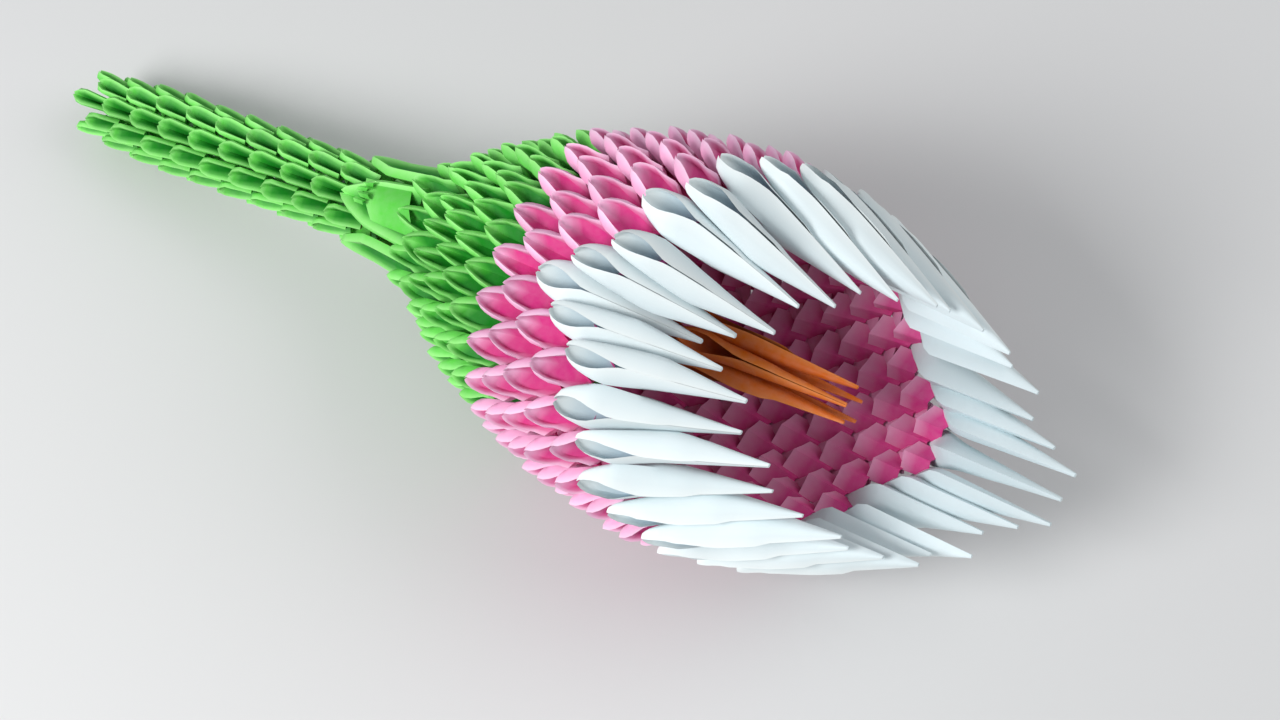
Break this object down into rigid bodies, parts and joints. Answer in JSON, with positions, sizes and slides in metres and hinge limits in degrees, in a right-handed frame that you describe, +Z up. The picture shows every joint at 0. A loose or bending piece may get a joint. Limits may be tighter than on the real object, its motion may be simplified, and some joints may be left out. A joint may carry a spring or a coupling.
{
  "type": "paper flower",
  "caption": "Paper flower of folded paper units pushed into each other: slim stem, swelling cup with a slanting mouth, pointed petals round the rim and a spadix inside, lying on its side",
  "frame": {"origin": "centre of the bounding box on the surface the flower lies on", "axes": "+Z up, +X from the stem's free end towards the mouth, along the flower's length"},
  "size_m": [0.3216, 0.112, 0.1072],
  "materials": {
    "green_paper": "matte coloured paper",
    "pink_paper": "matte coloured paper",
    "white_paper": "matte white paper",
    "orange_paper": "matte coloured paper"
  },
  "bodies": {
    "root": {"calyx_ring_1": "green_paper", "calyx_ring_2": "green_paper", "calyx_ring_3": "green_paper", "calyx_ring_4": "green_paper", "calyx_ring_5": "green_paper", "calyx_ring_6": "green_paper", "petals": "white_paper", "pink_ring_1": "pink_paper", "pink_ring_10": "pink_paper", "pink_ring_11": "pink_paper", "pink_ring_12": "pink_paper", "pink_ring_2": "pink_paper", "pink_ring_3": "pink_paper", "pink_ring_4": "pink_paper", "pink_ring_5": "pink_paper", "pink_ring_6": "pink_paper", "pink_ring_7": "pink_paper", "pink_ring_8": "pink_paper", "pink_ring_9": "pink_paper", "spadix_column": "orange_paper", "spadix_spikes": "orange_paper", "stem_ring_1": "green_paper", "stem_ring_10": "green_paper", "stem_ring_11": "green_paper", "stem_ring_12": "green_paper", "stem_ring_13": "green_paper", "stem_ring_14": "green_paper", "stem_ring_15": "green_paper", "stem_ring_16": "green_paper", "stem_ring_17": "green_paper", "stem_ring_18": "green_paper", "stem_ring_19": "green_paper", "stem_ring_2": "green_paper", "stem_ring_3": "green_paper", "stem_ring_4": "green_paper", "stem_ring_5": "green_paper", "stem_ring_6": "green_paper", "stem_ring_7": "green_paper", "stem_ring_8": "green_paper", "stem_ring_9": "green_paper"}
  },
  "joints": []
}
